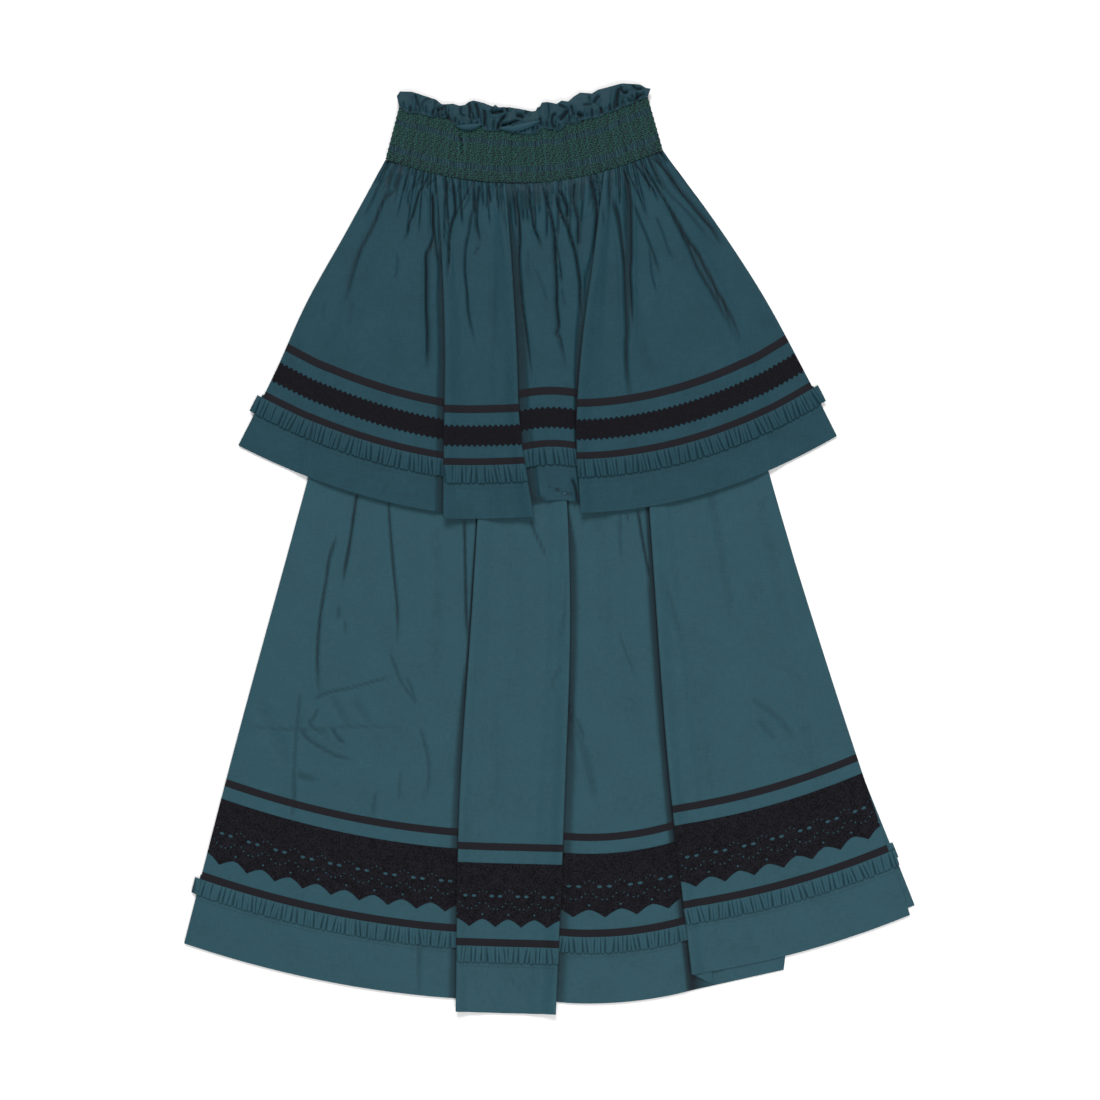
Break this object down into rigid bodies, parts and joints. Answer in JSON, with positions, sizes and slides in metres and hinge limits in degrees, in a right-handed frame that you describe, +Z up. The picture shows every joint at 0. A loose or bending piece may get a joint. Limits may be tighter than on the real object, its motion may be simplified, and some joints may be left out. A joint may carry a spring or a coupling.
{
  "type": "smocked maxi skirt",
  "caption": "Two-tier maxi skirt laid flat, with a smocked and ruffled waistband, ribbon, braid, scalloped lace and pleated frill bands.",
  "frame": {"origin": "centre of the laid-out skirt's outline, on the surface that it lies on", "axes": "+Y towards the waist, +X to the right seen from above, +Z up from the surface, front of the skirt up"},
  "size_m": [0.769, 0.9798, 0.0132],
  "materials": {
    "upper_cloth": "crisp woven cotton with a slight sheen",
    "lower_cloth": "crisp woven cotton with a slight sheen",
    "smocked_cloth": "gathered cotton with green smocking stitches",
    "ribbon": "matt ribbed ribbon",
    "braid": "matt woven braid",
    "lace": "matt crocheted cotton lace"
  },
  "bodies": {
    "root": {"waistband_front": "smocked_cloth", "waistband_back": "smocked_cloth", "ruffle_front": "upper_cloth", "ruffle_back": "upper_cloth", "upper_front": "upper_cloth", "upper_back": "upper_cloth", "lower_front": "lower_cloth", "lower_back": "lower_cloth", "upper_ribbon_top_left": "ribbon", "upper_ribbon_top_centre": "ribbon", "upper_ribbon_top_recess": "ribbon", "upper_ribbon_top_right": "ribbon", "upper_braid_left": "braid", "upper_braid_centre": "braid", "upper_braid_recess": "braid", "upper_braid_right": "braid", "upper_ribbon_low_left": "ribbon", "upper_ribbon_low_centre": "ribbon", "upper_ribbon_low_recess": "ribbon", "upper_ribbon_low_right": "ribbon", "upper_frill_left": "upper_cloth", "upper_frill_centre": "upper_cloth", "upper_frill_recess": "upper_cloth", "upper_frill_right": "upper_cloth", "lower_ribbon_top_left": "ribbon", "lower_ribbon_top_centre": "ribbon", "lower_ribbon_top_recess": "ribbon", "lower_ribbon_top_right": "ribbon", "lower_lace_left": "lace", "lower_lace_centre": "lace", "lower_lace_recess": "lace", "lower_lace_right": "lace", "lower_ribbon_low_left": "ribbon", "lower_ribbon_low_centre": "ribbon", "lower_ribbon_low_recess": "ribbon", "lower_ribbon_low_right": "ribbon", "lower_frill_left": "lower_cloth", "lower_frill_centre": "lower_cloth", "lower_frill_recess": "lower_cloth", "lower_frill_right": "lower_cloth"}
  },
  "joints": []
}
